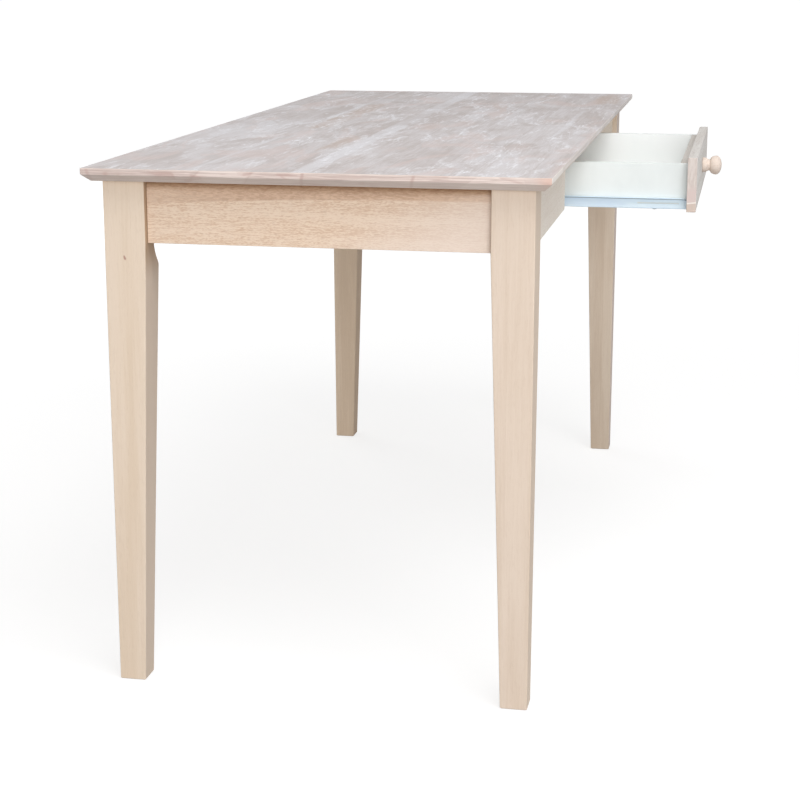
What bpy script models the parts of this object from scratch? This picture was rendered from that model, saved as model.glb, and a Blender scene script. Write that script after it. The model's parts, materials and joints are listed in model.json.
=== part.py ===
"""Writing desk with one shallow drawer on roller slides. Metres, +Z up, drawer side facing -Y.

The desk stands on the floor at z = 0. The origin is under the middle of its whole box, taken with the drawer
standing open by DRAWER_REST_OPEN. Left and right are as seen by someone who sits at the desk's drawer side.
"""

from math import cos, pi, sin, sqrt

import bmesh
import bpy
from mathutils import Matrix, Vector

# Overall
DESK_LENGTH = 1.524
DESK_DEPTH = 0.656
DESK_HEIGHT = 0.762
SEAT_GAP = 0.0003  # left between pieces that rest on one another

# Tabletop: an upright edge band, and under it a bevel that runs in
TOP_THICKNESS = 0.019
TOP_EDGE_BAND = 0.009
TOP_BEVEL_INSET = 0.0113
TOP_OVERHANG = 0.024  # past the outer faces of the legs

# Legs: the two outer faces are plumb, the two inner faces taper below the aprons
LEG_TOP_SIZE = 0.0605
LEG_FOOT_SIZE = 0.039
LEG_CORNER_CUT = 0.024  # flat at 45 degrees on the inner corner, behind the aprons
LEG_CUT_RUNOUT = 0.037  # the flat fades out over this height below the aprons
EDGE_EASE = 0.0012  # sanded edges of the top and the legs
RUNOUT_STEPS = 5

# Aprons
APRON_HEIGHT = 0.0885
APRON_THICKNESS = 0.019
APRON_SETBACK = 0.009  # behind the outer faces of the legs

# Corner blocks, and the hanger bolts that pull the legs against them
BLOCK_THICKNESS = 0.025
BLOCK_HEIGHT = 0.070
BLOCK_STANDOFF = 0.006  # from the leg's flat
BOLT_RADIUS = 0.004
BOLT_DEPTH = 0.035  # in the leg
BOLT_TAIL = 0.006  # past the nut
NUT_ACROSS_FLATS = 0.013
NUT_HEIGHT = 0.008
NUT_FLANGE_RADIUS = 0.009
NUT_FLANGE_HEIGHT = 0.002

# Screws that hold the tabletop, driven up through the corner blocks
TOP_SCREW_LENGTH = 0.040
TOP_SCREW_BITE = 0.012  # in the tabletop
TOP_SCREW_RADIUS = 0.0022
TOP_SCREW_OFFSET = 0.028  # to the side of the hanger bolt
COUNTERBORE_RADIUS = 0.006
SCREW_HEAD_RADIUS = 0.0042
SCREW_HEAD_HEIGHT = 0.0024
SCREW_CROWN = 0.7  # radius of a screw head's flat crown, as a share of the head's radius
SCREW_TIP_LENGTH = 2  # in radii of the shank
SCREW_TIP_BLUNT = 0.2  # radius at the very tip, as a share of the shank's radius

# Drawer rails from front to back, with glue blocks in their outer corners
RAIL_THICKNESS = 0.019
RAIL_RISE = 0.002  # above the lower edge of the aprons
GLUE_BLOCK_SIZE = 0.020
GLUE_BLOCK_HEIGHT = 0.060

# Drawer: a front that fills the gap in the front apron, and a box behind it
DRAWER_OPENING = 0.546
DRAWER_REVEAL = 0.003  # gap at each end of the drawer front
FRONT_THICKNESS = 0.015
FRONT_TOP_GAP = 0.003
BOX_INSET = 0.020  # of the box sides, from the ends of the drawer front
BOX_WALL = 0.012
BOX_RISE = 0.0035  # above the lower edge of the aprons
BOX_HEADROOM = 0.015  # under the tabletop
BOX_OVERRUN = 0.012  # of the box, past the end of the runners
BOTTOM_THICKNESS = 0.0036
BOTTOM_RISE = 0.008  # of the bottom's groove, above the lower edge of the box
GROOVE_DEPTH = 0.006
GROOVE_END_ROOM = 0.001
DRAWER_REST_OPEN = 0.205

# Roller slides: a channel on each drawer rail, and a runner on each box side
SLIDE_LENGTH = 0.406
SLIDE_SPACE = 0.0127  # between the box side and the drawer rail
SLIDE_SHEET = 0.0012
SLIDE_SETBACK = 0.002  # of the channel, behind the inner face of the front apron
RUNNER_HEIGHT = 0.0165
RUNNER_FOOT = 0.0115  # reach of the runner under the box side
RUNNER_FLANGE = 0.0072  # reach of the runner over the front roller
RUNNING_CLEARANCE = 0.0006
CHANNEL_LIP_CLEARANCE = 0.0015  # from the channel's flanges to the runner
ROLLER_RADIUS = 0.008
ROLLER_SIDE_ROOM = 0.0045  # taken by pin heads, collars and clearances
ROLLER_INSET = 0.012  # of each roller's axis, from the end of its slide
ROLLER_BAY_ROOM = 0.004  # between a roller and the flanges cut away for it
PIN_RADIUS = 0.0025
PIN_HEAD_RADIUS = 0.004
PIN_HEAD_THICKNESS = 0.0008
PIN_COLLAR = 0.0006
BEARING_CLEARANCE = 0.0001
SLIDE_SCREW_RADIUS = 0.0017
SLIDE_SCREW_BITE = 0.010
SLIDE_SCREW_HEAD_RADIUS = 0.0034
SLIDE_SCREW_HEAD_HEIGHT = 0.0012
SLIDE_SCREW_INSET = 0.050  # from each end of the slide
RUNNER_SCREW_INSET = 0.0035  # from the box side's outer face

# Turned knob and the screws through the box front
KNOB_LENGTH = 0.032
KNOB_BASE_RADIUS = 0.0124
KNOB_NECK_RADIUS = 0.0094
KNOB_HEAD_RADIUS = 0.016
KNOB_FOOT = 0.0042  # length of the plain foot
KNOB_NECK_START = 0.0075
KNOB_NECK_END = 0.0125
KNOB_DOME = 0.0090  # length of the head past its widest ring
KNOB_TIP_RADIUS = 0.0016
KNOB_RISE = 0.0026  # of the knob and the screws, above the middle of the drawer front
KNOB_SCREW_RADIUS = 0.002
KNOB_SCREW_BITE = 0.014
FRONT_SCREW_BITE = 0.010
FRONT_SCREW_SPAN = 0.300

# Facets of turned pieces
SCREW_SIDES = 10
BOLT_SIDES = 12
ROLLER_SIDES = 24
KNOB_SIDES = 24
KNOB_ARC_STEPS = 5
SMOOTH_ANGLE = pi / 5  # facets that meet at less than this are shaded as one surface
MERGE_DIGITS = 7

# Finishes: colour, roughness, metallic
TOP_WOOD = ((0.60, 0.55, 0.52), 0.62, 0.0)
LEG_WOOD = ((0.75, 0.61, 0.46), 0.60, 0.0)
APRON_WOOD = ((0.72, 0.56, 0.42), 0.60, 0.0)
HIDDEN_WOOD = ((0.66, 0.53, 0.39), 0.70, 0.0)
DRAWER_FRONT_WOOD = ((0.66, 0.56, 0.49), 0.60, 0.0)
DRAWER_WHITE = ((0.84, 0.85, 0.80), 0.45, 0.0)
KNOB_WOOD = ((0.80, 0.66, 0.50), 0.50, 0.0)
SLIDE_WHITE = ((0.76, 0.82, 0.86), 0.40, 0.0)
NYLON = ((0.85, 0.85, 0.82), 0.45, 0.0)
ZINC = ((0.62, 0.62, 0.60), 0.35, 1.0)

# Levels
UNDERSIDE = DESK_HEIGHT - TOP_THICKNESS
FRAME_TOP = UNDERSIDE - SEAT_GAP
APRON_BOTTOM = UNDERSIDE - APRON_HEIGHT
BOX_BOTTOM = APRON_BOTTOM + BOX_RISE
BOX_TOP = UNDERSIDE - BOX_HEADROOM
FRONT_TOP = UNDERSIDE - FRONT_TOP_GAP
KNOB_HEIGHT = (APRON_BOTTOM + FRONT_TOP) / 2 + KNOB_RISE

# Plan, from the middle of the tabletop
LEG_X = DESK_LENGTH / 2 - TOP_OVERHANG
LEG_Y = DESK_DEPTH / 2 - TOP_OVERHANG
APRON_X = LEG_X - APRON_SETBACK
APRON_Y = LEG_Y - APRON_SETBACK
APRON_END_X = LEG_X - LEG_TOP_SIZE - SEAT_GAP
APRON_END_Y = LEG_Y - LEG_TOP_SIZE - SEAT_GAP
APRON_INNER_Y = APRON_Y - APRON_THICKNESS
FRONT_HALF = DRAWER_OPENING / 2 - DRAWER_REVEAL
BOX_HALF = FRONT_HALF - BOX_INSET
RAIL_X = BOX_HALF + SLIDE_SPACE

# Along the drawer, back from the outer face of its front
BOX_START = FRONT_THICKNESS + SEAT_GAP
BOX_FRONT_BACK = BOX_START + BOX_WALL
BOX_END = BOX_START + SLIDE_LENGTH + BOX_OVERRUN
GROOVE_BOTTOM = BOX_BOTTOM + BOTTOM_RISE
GROOVE_TOP = GROOVE_BOTTOM + BOTTOM_THICKNESS + 2 * SEAT_GAP

# Across a slide, out from the box side's outer face, and its levels
RUNNER_WEB = SEAT_GAP + SLIDE_SHEET
CHANNEL_WEB = SLIDE_SPACE - SEAT_GAP - SLIDE_SHEET
ROLLER_WIDTH = CHANNEL_WEB - RUNNER_WEB - ROLLER_SIDE_ROOM
REAR_ROLLER_START = RUNNER_WEB + 2 * SEAT_GAP + PIN_COLLAR
FRONT_ROLLER_START = RUNNER_WEB + RUNNING_CLEARANCE + PIN_HEAD_THICKNESS + SEAT_GAP
RUNNER_TOP = BOX_BOTTOM + RUNNER_HEIGHT
RUNNER_FOOT_TOP = BOX_BOTTOM - SEAT_GAP
ROLLER_LEVEL = RUNNER_TOP - SLIDE_SHEET - SEAT_GAP - ROLLER_RADIUS
CHANNEL_FLOOR = ROLLER_LEVEL - ROLLER_RADIUS - SEAT_GAP
CHANNEL_CEILING = RUNNER_TOP + RUNNING_CLEARANCE
CHANNEL_START = -APRON_INNER_Y + SLIDE_SETBACK
CHANNEL_END = CHANNEL_START + SLIDE_LENGTH
ROLLER_BAY = ROLLER_INSET + ROLLER_RADIUS + ROLLER_BAY_ROOM

CORNERS = {"front_left": (-1, -1), "front_right": (1, -1), "back_left": (-1, 1), "back_right": (1, 1)}
SIDES = {"left": -1, "right": 1}


# Building blocks

def add_skin(bm, rings, ring_shaped=False):
    """Skins a closed body over matching rings of points. A ring-shaped body joins its last to its first."""
    loops = [[bm.verts.new(point) for point in ring] for ring in rings]
    pairs = list(zip(loops, loops[1:]))
    if ring_shaped:
        pairs.append((loops[-1], loops[0]))
    else:
        bm.faces.new(loops[0])
        bm.faces.new(loops[-1])
    for lower, upper in pairs:
        for i in range(len(lower)):
            j = (i + 1) % len(lower)
            bm.faces.new((lower[i], lower[j], upper[j], upper[i]))


def add_board(bm, low, high):
    """A square-edged board between two corners."""
    low, high = Vector(low), Vector(high)
    place = Matrix.Translation((low + high) / 2) @ Matrix.Diagonal((*(high - low), 1))
    bmesh.ops.create_cube(bm, size=1, matrix=place)


def add_bar(bm, outline, travel):
    """An outline of points in space, extruded along one vector."""
    face = bm.faces.new([bm.verts.new(point) for point in outline])
    extruded = bmesh.ops.extrude_face_region(bm, geom=[face])
    verts = [part for part in extruded["geom"] if isinstance(part, bmesh.types.BMVert)]
    bmesh.ops.translate(bm, verts=verts, vec=travel)


def add_folded_sheet(bm, cells, long_cells, start, step, end):
    """A bent sheet whose section is made of rectangles, ((x, z), (x, z)) each. All of them run along Y
    from start to step, and the rectangles numbered in long_cells run on from step to end."""
    runs = [(cell, start, step) for cell in cells] + [(cells[i], step, end) for i in long_cells]
    verts, faces = {}, {}
    for ((x0, z0), (x1, z1)), y0, y1 in runs:
        ring = [(x0, z0), (x1, z0), (x1, z1), (x0, z1)]
        near = [tuple(round(value, MERGE_DIGITS) for value in (x, y0, z)) for x, z in ring]
        far = [tuple(round(value, MERGE_DIGITS) for value in (x, y1, z)) for x, z in ring]
        walls = [(near[i], near[i - 1], far[i - 1], far[i]) for i in range(4)]
        for face in [near, far] + walls:
            key = frozenset(face)
            if key in faces:
                del faces[key]
            else:
                faces[key] = face
    for face in faces.values():
        for point in face:
            if point not in verts:
                verts[point] = bm.verts.new(point)
        bm.faces.new([verts[point] for point in face])


def axis_place(point, direction):
    """The frame whose +Z runs from a point in a direction."""
    return Matrix.Translation(point) @ Vector(direction).to_track_quat("Z", "Y").to_matrix().to_4x4()


def add_turned(bm, profile, place, sides, ring_shaped=False):
    """A profile of (distance along the axis, radius) points, turned about the axis."""
    turns = [2 * pi * i / sides for i in range(sides)]
    rings = []
    for along, radius in profile:
        rings.append([place @ Vector((radius * cos(turn), radius * sin(turn), along)) for turn in turns])
    add_skin(bm, rings, ring_shaped)


def piece(name, bm, finish, parent, location=(0, 0, 0)):
    """Makes a named object with its own material from a finished mesh."""
    bmesh.ops.recalc_face_normals(bm, faces=bm.faces)
    mesh = bpy.data.meshes.new(name)
    bm.to_mesh(mesh)
    bm.free()
    colour, roughness, metallic = finish
    material = bpy.data.materials.new(name)
    material.use_nodes = True
    shader = material.node_tree.nodes["Principled BSDF"]
    shader.inputs["Base Color"].default_value = (*colour, 1)
    shader.inputs["Roughness"].default_value = roughness
    shader.inputs["Metallic"].default_value = metallic
    mesh.materials.append(material)
    obj = bpy.data.objects.new(name, mesh)
    bpy.context.scene.collection.objects.link(obj)
    obj.parent = parent
    obj.location = location
    return obj


def turned_piece(name, profile, place, sides, finish, parent, location=(0, 0, 0), ring_shaped=False):
    bm = bmesh.new()
    add_turned(bm, profile, place, sides, ring_shaped)
    obj = piece(name, bm, finish, parent, location)
    obj.data.shade_smooth()
    obj.data.set_sharp_from_angle(angle=SMOOTH_ANGLE)
    return obj


def board(name, low, high, finish, parent):
    bm = bmesh.new()
    add_board(bm, low, high)
    return piece(name, bm, finish, parent)


def cutter(name, bm, parent):
    """A guide shape for holes, which is no part of the desk."""
    obj = piece(name, bm, ZINC, parent)
    obj.hide_render = True
    obj.display_type = "WIRE"
    return obj


def drill(obj, tool):
    """Takes a cutter's shape out of a piece."""
    hole = obj.modifiers.new(tool.name, "BOOLEAN")
    hole.operation = "DIFFERENCE"
    hole.object = tool


def screw_profile(length, radius, head_radius, head_height):
    return [
        (-head_height, head_radius * SCREW_CROWN),
        (-head_height / 2, head_radius),
        (0, head_radius),
        (0, radius),
        (length - radius * SCREW_TIP_LENGTH, radius),
        (length, radius * SCREW_TIP_BLUNT),
    ]


def hole_profile(length, radius, lead):
    """A plain hole for a screw's shank, started a little outside the surface that its head sits on."""
    return [(-lead, radius + SEAT_GAP), (length + SEAT_GAP, radius + SEAT_GAP)]


def new_empty(name, location, parent=None):
    empty = bpy.data.objects.new(name, None)
    bpy.context.scene.collection.objects.link(empty)
    empty.location = location
    empty.parent = parent
    return empty


# Desk frame

def corner_point(corner, inward_x, inward_y, z):
    """A point measured inwards from the outer corner of a leg."""
    side_x, side_y = CORNERS[corner]
    return Vector((side_x * (LEG_X - inward_x), side_y * (LEG_Y - inward_y), z))


def make_tabletop(desk):
    def ring(inset, z):
        x, y = DESK_LENGTH / 2 - inset, DESK_DEPTH / 2 - inset
        return [(-x, -y, z), (x, -y, z), (x, y, z), (-x, y, z)]

    bm = bmesh.new()
    add_skin(bm, [
        ring(TOP_BEVEL_INSET, UNDERSIDE),
        ring(0, DESK_HEIGHT - TOP_EDGE_BAND),
        ring(0, DESK_HEIGHT - EDGE_EASE),
        ring(EDGE_EASE, DESK_HEIGHT),
    ])
    return piece("tabletop", bm, TOP_WOOD, desk)


def leg_size(z):
    drop = max(0, (APRON_BOTTOM - z) / APRON_BOTTOM)
    return LEG_TOP_SIZE - (LEG_TOP_SIZE - LEG_FOOT_SIZE) * drop


def leg_ring(corner, z, cut, inset=0.0):
    """Eight points round a leg: three eased corners, and the inner corner cut flat."""
    size = leg_size(z)
    ease = EDGE_EASE
    outline = [(ease, 0), (size - ease, 0), (size, ease), (size, size - cut),
               (size - cut, size), (ease, size), (0, size - ease), (0, ease)]
    shrink = 1 - 2 * inset / size
    return [corner_point(corner, inset + x * shrink, inset + y * shrink, z) for x, y in outline]


def make_leg(corner, desk):
    runout_start = APRON_BOTTOM - LEG_CUT_RUNOUT
    rings = [
        leg_ring(corner, 0, EDGE_EASE, EDGE_EASE),
        leg_ring(corner, EDGE_EASE, EDGE_EASE),
        leg_ring(corner, runout_start, EDGE_EASE),
    ]
    for i in range(1, RUNOUT_STEPS + 1):
        share = i / RUNOUT_STEPS
        cut = max(EDGE_EASE, LEG_CORNER_CUT * sin(pi / 2 * share))
        rings.append(leg_ring(corner, runout_start + LEG_CUT_RUNOUT * share, cut))
    rings.append(leg_ring(corner, FRAME_TOP, LEG_CORNER_CUT))
    bm = bmesh.new()
    add_skin(bm, rings)
    return piece("leg_" + corner, bm, LEG_WOOD, desk)


def make_aprons(desk):
    for side, sign in SIDES.items():
        inner, outer = sorted((sign * APRON_X, sign * (APRON_X - APRON_THICKNESS)))
        board("apron_" + side, (inner, -APRON_END_Y, APRON_BOTTOM), (outer, APRON_END_Y, FRAME_TOP),
              APRON_WOOD, desk)
        start, end = sorted((sign * APRON_END_X, sign * DRAWER_OPENING / 2))
        board("apron_front_" + side, (start, -APRON_Y, APRON_BOTTOM), (end, -APRON_INNER_Y, FRAME_TOP),
              APRON_WOOD, desk)
    board("apron_back", (-APRON_END_X, APRON_INNER_Y, APRON_BOTTOM), (APRON_END_X, APRON_Y, FRAME_TOP),
          APRON_WOOD, desk)


# Distances along the diagonal of a corner, in from the outer corner of the leg
LEG_FLAT = (2 * LEG_TOP_SIZE - LEG_CORNER_CUT) / sqrt(2)
BLOCK_FACE = LEG_FLAT + BLOCK_STANDOFF
BLOCK_BACK = BLOCK_FACE + BLOCK_THICKNESS
NUT_START = BLOCK_BACK + SEAT_GAP
BOLT_LEVEL = FRAME_TOP - BLOCK_HEIGHT / 2
TOP_SCREW_SEAT = UNDERSIDE + TOP_SCREW_BITE - TOP_SCREW_LENGTH


def diagonal_place(corner, along, z):
    """The frame that points inwards along a corner's diagonal."""
    side_x, side_y = CORNERS[corner]
    return axis_place(corner_point(corner, along / sqrt(2), along / sqrt(2), z), (-side_x, -side_y, 0))


def make_corner(corner, leg, desk):
    """The block glued between two aprons, with the hanger bolt, its nut and the screw into the tabletop."""
    seat = APRON_SETBACK + APRON_THICKNESS + SEAT_GAP
    face, back = BLOCK_FACE * sqrt(2) - seat, BLOCK_BACK * sqrt(2) - seat
    outline = [(face, seat), (back, seat), (seat, back), (seat, face)]
    bm = bmesh.new()
    add_bar(bm, [corner_point(corner, x, y, FRAME_TOP) for x, y in outline], (0, 0, -BLOCK_HEIGHT))
    block = piece("corner_block_" + corner, bm, HIDDEN_WOOD, desk)

    place = diagonal_place(corner, 0, BOLT_LEVEL)
    bolt_start = LEG_FLAT - BOLT_DEPTH
    nut_end = NUT_START + NUT_FLANGE_HEIGHT + NUT_HEIGHT
    turned_piece("hanger_bolt_" + corner, [(bolt_start, BOLT_RADIUS), (nut_end + BOLT_TAIL, BOLT_RADIUS)],
                 place, BOLT_SIDES, ZINC, desk)
    bore = BOLT_RADIUS + SEAT_GAP
    bm = bmesh.new()
    add_turned(bm, [(bolt_start - SEAT_GAP, bore), (nut_end, bore)], place, BOLT_SIDES)
    bolt_hole = cutter("bolt_hole_" + corner, bm, desk)
    drill(leg, bolt_hole)
    drill(block, bolt_hole)

    def hexagon(along):
        """Twelve points round the hexagon: its corners, and the middles of its flats."""
        reach = NUT_ACROSS_FLATS / 2
        radii = [reach if i % 2 else reach / cos(pi / 6) for i in range(BOLT_SIDES)]
        turns = [2 * pi * i / BOLT_SIDES for i in range(BOLT_SIDES)]
        return [place @ Vector((r * cos(t), r * sin(t), along)) for r, t in zip(radii, turns)]

    def circle(radius, along):
        turns = [2 * pi * i / BOLT_SIDES for i in range(BOLT_SIDES)]
        return [place @ Vector((radius * cos(t), radius * sin(t), along)) for t in turns]

    flange_end = NUT_START + NUT_FLANGE_HEIGHT
    bm = bmesh.new()
    add_skin(bm, [
        circle(NUT_FLANGE_RADIUS, NUT_START),
        circle(NUT_FLANGE_RADIUS, flange_end),
        hexagon(flange_end),
        hexagon(nut_end),
        circle(bore, nut_end),
        circle(bore, NUT_START),
    ], ring_shaped=True)
    piece("hanger_nut_" + corner, bm, ZINC, desk)

    middle = (BLOCK_FACE + BLOCK_BACK) / 2
    seat_point = corner_point(corner, (middle + TOP_SCREW_OFFSET) / sqrt(2),
                              (middle - TOP_SCREW_OFFSET) / sqrt(2), TOP_SCREW_SEAT)
    upwards = axis_place(seat_point, (0, 0, 1))
    turned_piece("top_screw_" + corner,
                 screw_profile(TOP_SCREW_LENGTH, TOP_SCREW_RADIUS, SCREW_HEAD_RADIUS, SCREW_HEAD_HEIGHT),
                 upwards, SCREW_SIDES, ZINC, desk)
    below_block = TOP_SCREW_SEAT - APRON_BOTTOM
    shank_hole = TOP_SCREW_RADIUS + SEAT_GAP
    bm = bmesh.new()
    add_turned(bm, [(-below_block, COUNTERBORE_RADIUS), (SEAT_GAP, COUNTERBORE_RADIUS),
                    (SEAT_GAP, shank_hole), (TOP_SCREW_LENGTH + SEAT_GAP, shank_hole)], upwards, BOLT_SIDES)
    screw_hole = cutter("top_screw_hole_" + corner, bm, desk)
    drill(block, screw_hole)
    drill(bpy.data.objects["tabletop"], screw_hole)


def make_drawer_rail(side, sign, desk):
    """The rail that carries a slide's channel, and the glue blocks that fix it to the aprons."""
    near, far = RAIL_X, RAIL_X + RAIL_THICKNESS
    x0, x1 = sorted((sign * near, sign * far))
    end = APRON_INNER_Y - SEAT_GAP
    rail = board("drawer_rail_" + side, (x0, -end, APRON_BOTTOM + RAIL_RISE), (x1, end, FRAME_TOP),
                 HIDDEN_WOOD, desk)
    x0, x1 = sorted((sign * (far + SEAT_GAP), sign * (far + SEAT_GAP + GLUE_BLOCK_SIZE)))
    for place, way in (("front", -1), ("back", 1)):
        y0, y1 = sorted((way * end, way * (end - GLUE_BLOCK_SIZE)))
        board(f"glue_block_{place}_{side}", (x0, y0, FRAME_TOP - GLUE_BLOCK_HEIGHT), (x1, y1, FRAME_TOP),
              HIDDEN_WOOD, desk)
    return rail


# Roller slides

def across(sign, out):
    """The X of a point that lies out from the outer face of a box side."""
    return sign * (BOX_HALF + out)


def sheet_cells(sign, rectangles):
    return [((across(sign, u0), z0), (across(sign, u1), z1)) for u0, z0, u1, z1 in rectangles]


def make_slide_screw(name, place, parent):
    """A screw through a slide's sheet into the wood behind it. Returns the cutter for its hole."""
    length = SLIDE_SHEET + 2 * SEAT_GAP + SLIDE_SCREW_BITE
    profile = screw_profile(length, SLIDE_SCREW_RADIUS, SLIDE_SCREW_HEAD_RADIUS, SLIDE_SCREW_HEAD_HEIGHT)
    turned_piece(name, profile, place, SCREW_SIDES, ZINC, parent)
    bm = bmesh.new()
    add_turned(bm, hole_profile(length, SLIDE_SCREW_RADIUS, SLIDE_SHEET), place, SCREW_SIDES)
    return cutter(name + "_hole", bm, parent)


def make_channel(side, sign, rail, desk):
    """The fixed half of a slide: a channel with its flanges cut away at the front, where its roller turns."""
    back = CHANNEL_WEB + SLIDE_SHEET
    lip = RUNNER_WEB + CHANNEL_LIP_CLEARANCE
    floor, ceiling, sheet = CHANNEL_FLOOR, CHANNEL_CEILING, SLIDE_SHEET
    cells = sheet_cells(sign, [
        (lip, floor - sheet, CHANNEL_WEB, floor),
        (CHANNEL_WEB, floor - sheet, back, floor),
        (CHANNEL_WEB, floor, back, ceiling),
        (CHANNEL_WEB, ceiling, back, ceiling + sheet),
        (lip, ceiling, CHANNEL_WEB, ceiling + sheet),
    ])
    bm = bmesh.new()
    add_folded_sheet(bm, cells, (1, 2, 3), CHANNEL_END, CHANNEL_START + ROLLER_BAY, CHANNEL_START)
    channel = piece("slide_channel_" + side, bm, SLIDE_WHITE, desk)

    middle = (CHANNEL_FLOOR + CHANNEL_CEILING) / 2
    for place, y in (("front", CHANNEL_START + SLIDE_SCREW_INSET), ("back", CHANNEL_END - SLIDE_SCREW_INSET)):
        outwards = axis_place((across(sign, CHANNEL_WEB - SEAT_GAP), y, middle), (sign, 0, 0))
        hole = make_slide_screw(f"channel_screw_{place}_{side}", outwards, desk)
        drill(channel, hole)
        drill(rail, hole)

    axle = (sign * BOX_HALF, CHANNEL_START + ROLLER_INSET, ROLLER_LEVEL)
    roller_end = FRONT_ROLLER_START + ROLLER_WIDTH
    head_start = FRONT_ROLLER_START - SEAT_GAP - PIN_HEAD_THICKNESS
    make_pin("roller_pin_front_" + side, sign, axle, desk, [
        (head_start, PIN_HEAD_RADIUS), (head_start + PIN_HEAD_THICKNESS, PIN_HEAD_RADIUS),
        (head_start + PIN_HEAD_THICKNESS, PIN_RADIUS), (roller_end + SEAT_GAP, PIN_RADIUS),
        (roller_end + SEAT_GAP, PIN_HEAD_RADIUS), (CHANNEL_WEB - SEAT_GAP, PIN_HEAD_RADIUS),
    ])
    make_roller("roller_front_" + side, sign, axle, desk, FRONT_ROLLER_START)


def make_runner(side, sign, box_side, drawer):
    """The moving half of a slide: a folded strip under the box side, with a roller at its back end."""
    sheet, top = SLIDE_SHEET, RUNNER_TOP
    foot = RUNNER_FOOT_TOP
    cells = sheet_cells(sign, [
        (-RUNNER_FOOT, foot - sheet, SEAT_GAP, foot),
        (SEAT_GAP, foot - sheet, RUNNER_WEB, foot),
        (SEAT_GAP, foot, RUNNER_WEB, top - sheet),
        (SEAT_GAP, top - sheet, RUNNER_WEB, top),
        (RUNNER_WEB, top - sheet, RUNNER_WEB + RUNNER_FLANGE, top),
    ])
    end = BOX_START + SLIDE_LENGTH
    bm = bmesh.new()
    add_folded_sheet(bm, cells, (0, 1, 2, 3), BOX_START, end - ROLLER_BAY, end)
    runner = piece("slide_runner_" + side, bm, SLIDE_WHITE, drawer)

    seat = (across(sign, -RUNNER_SCREW_INSET), BOX_START + SLIDE_SCREW_INSET, foot - sheet - SEAT_GAP)
    hole = make_slide_screw("runner_screw_" + side, axis_place(seat, (0, 0, 1)), drawer)
    drill(runner, hole)
    drill(box_side, hole)

    axle = (sign * BOX_HALF, end - ROLLER_INSET, ROLLER_LEVEL)
    collar_start = RUNNER_WEB + SEAT_GAP
    head_start = REAR_ROLLER_START + ROLLER_WIDTH + SEAT_GAP
    make_pin("roller_pin_back_" + side, sign, axle, drawer, [
        (collar_start, PIN_HEAD_RADIUS), (collar_start + PIN_COLLAR, PIN_HEAD_RADIUS),
        (collar_start + PIN_COLLAR, PIN_RADIUS), (head_start, PIN_RADIUS),
        (head_start, PIN_HEAD_RADIUS), (head_start + PIN_HEAD_THICKNESS, PIN_HEAD_RADIUS),
    ])
    make_roller("roller_back_" + side, sign, axle, drawer, REAR_ROLLER_START)


def make_pin(name, sign, axle, parent, profile):
    place = axis_place((0, 0, 0), (sign, 0, 0))
    turned_piece(name, profile, place, ROLLER_SIDES, ZINC, parent, axle)


def make_roller(name, sign, axle, parent, start):
    """A nylon roller whose origin lies on its axle."""
    place = axis_place((0, 0, 0), (sign, 0, 0))
    bore, rim, end = PIN_RADIUS + BEARING_CLEARANCE, ROLLER_RADIUS - EDGE_EASE / 2, start + ROLLER_WIDTH
    ease = EDGE_EASE / 2
    turned_piece(name, [(start, bore), (start, rim), (start + ease, ROLLER_RADIUS),
                        (end - ease, ROLLER_RADIUS), (end, rim), (end, bore)],
                 place, ROLLER_SIDES, NYLON, parent, axle, ring_shaped=True)


# Drawer

def make_box_side(side, sign, drawer):
    inner, groove = -BOX_WALL, GROOVE_DEPTH - BOX_WALL
    outline = [(0, BOX_BOTTOM), (0, BOX_TOP), (inner, BOX_TOP), (inner, GROOVE_TOP), (groove, GROOVE_TOP),
               (groove, GROOVE_BOTTOM), (inner, GROOVE_BOTTOM), (inner, BOX_BOTTOM)]
    bm = bmesh.new()
    add_bar(bm, [(across(sign, u), BOX_START, z) for u, z in outline], (0, BOX_END - BOX_START, 0))
    return piece("drawer_side_" + side, bm, DRAWER_WHITE, drawer)


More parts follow.
